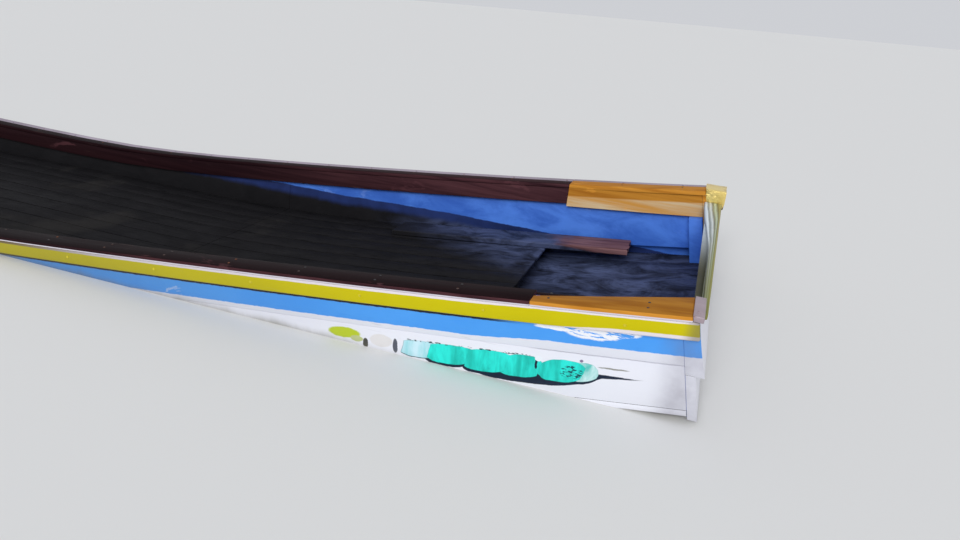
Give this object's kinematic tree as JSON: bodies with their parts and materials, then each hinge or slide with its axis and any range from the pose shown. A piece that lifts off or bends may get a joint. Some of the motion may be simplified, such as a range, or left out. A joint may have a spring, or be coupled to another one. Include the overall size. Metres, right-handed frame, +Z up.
{
  "type": "longtail boat",
  "caption": "Open painted wooden longtail boat with a raised square bow, gunwale planks, floor boards and a tilting, swivelling stern motor on a long propeller shaft.",
  "frame": {"origin": "underside of the keel runner on the centre line, where the sheer is lowest", "axes": "+X towards the square bow, +Y to port, +Z up"},
  "size_m": [11.0987, 1.5618, 1.2846],
  "materials": {
    "white_paint": "gloss white paint on planks, scuffed",
    "yellow_paint": "gloss yellow paint on the rub rail",
    "blue_paint": "gloss blue paint, worn in patches",
    "inner_blue_paint": "satin blue paint with a dark wet stain low down",
    "brown_plank": "dark oiled hardwood",
    "varnished_wood": "varnished orange hardwood",
    "wet_wood": "dark wet boards",
    "plain_wood": "bare weathered hardwood",
    "grey_paint": "pale striped paint, worn",
    "grey_plate": "dull plate",
    "gilt_plate": "bright sheet, dented",
    "black_iron": "black paint with rust at the edges",
    "engine_paint": "grey-green engine enamel, oily",
    "bare_steel": "brushed, stained",
    "rusty_steel": "heat-stained rust",
    "red_paint": "red enamel, chipped",
    "bronze": "cast and ground"
  },
  "bodies": {
    "hull": {"bottom_planking": "white_paint", "keel_runner": "plain_wood", "bilge_runner_port": "plain_wood", "bilge_runner_starboard": "plain_wood", "lower_strake_port": "white_paint", "upper_strake_port": "blue_paint", "rub_rail_port": "yellow_paint", "lining_port_aft": "inner_blue_paint", "lining_port_middle": "inner_blue_paint", "lining_port_fore": "inner_blue_paint", "lower_strake_starboard": "white_paint", "upper_strake_starboard": "blue_paint", "rub_rail_starboard": "yellow_paint", "lining_starboard_aft": "inner_blue_paint", "lining_starboard_middle": "inner_blue_paint", "lining_starboard_fore": "inner_blue_paint", "gunwale_port": "brown_plank", "inwale_port": "brown_plank", "gunwale_end_port": "varnished_wood", "gunwale_starboard": "brown_plank", "inwale_starboard": "brown_plank", "gunwale_end_starboard": "varnished_wood", "floor_timbers_aft": "wet_wood", "sole_aft": "wet_wood", "floor_timbers_middle": "wet_wood", "sole_middle": "wet_wood", "floor_timbers_fore": "wet_wood", "sole_fore": "wet_wood", "loose_board": "plain_wood", "driver_seat": "plain_wood", "end_board_lower": "white_paint", "end_board_upper": "white_paint", "corner_post_port": "grey_paint", "corner_post_starboard": "grey_paint", "bow_cap": "grey_paint", "corner_shoe_port": "gilt_plate", "corner_strip_starboard": "grey_plate", "transom": "white_paint", "motor_beam": "plain_wood", "swivel_socket": "black_iron"},
    "swivel": {"swivel_yoke": "black_iron"},
    "motor": {"motor_frame": "red_paint", "engine_block": "engine_paint", "cylinder_head": "bare_steel", "bell_housing": "bare_steel", "intake": "bare_steel", "exhaust": "rusty_steel", "belt_drive": "black_iron", "fuel_tank": "red_paint", "tail_tube": "bare_steel", "tiller": "black_iron"},
    "propeller": {"propeller": "bronze"}
  },
  "joints": [
    {"name": "motor_swivel", "type": "hinge", "parent": "hull", "child": "swivel", "pos_m": [-4.6, 0, 0.775], "axis": [0, 0, 1], "range_deg": [-60, 60]},
    {"name": "motor_tilt", "type": "hinge", "parent": "swivel", "child": "motor", "pos_m": [-4.6, 0, 0.775], "axis": [0, 1, 0], "range_deg": [-8, 6]},
    {"name": "propeller_spin", "type": "hinge", "parent": "motor", "child": "propeller", "pos_m": [-7.3152, 0, 0.5298], "axis": [0.9945, 0, 0.1045], "continuous": true}
  ]
}
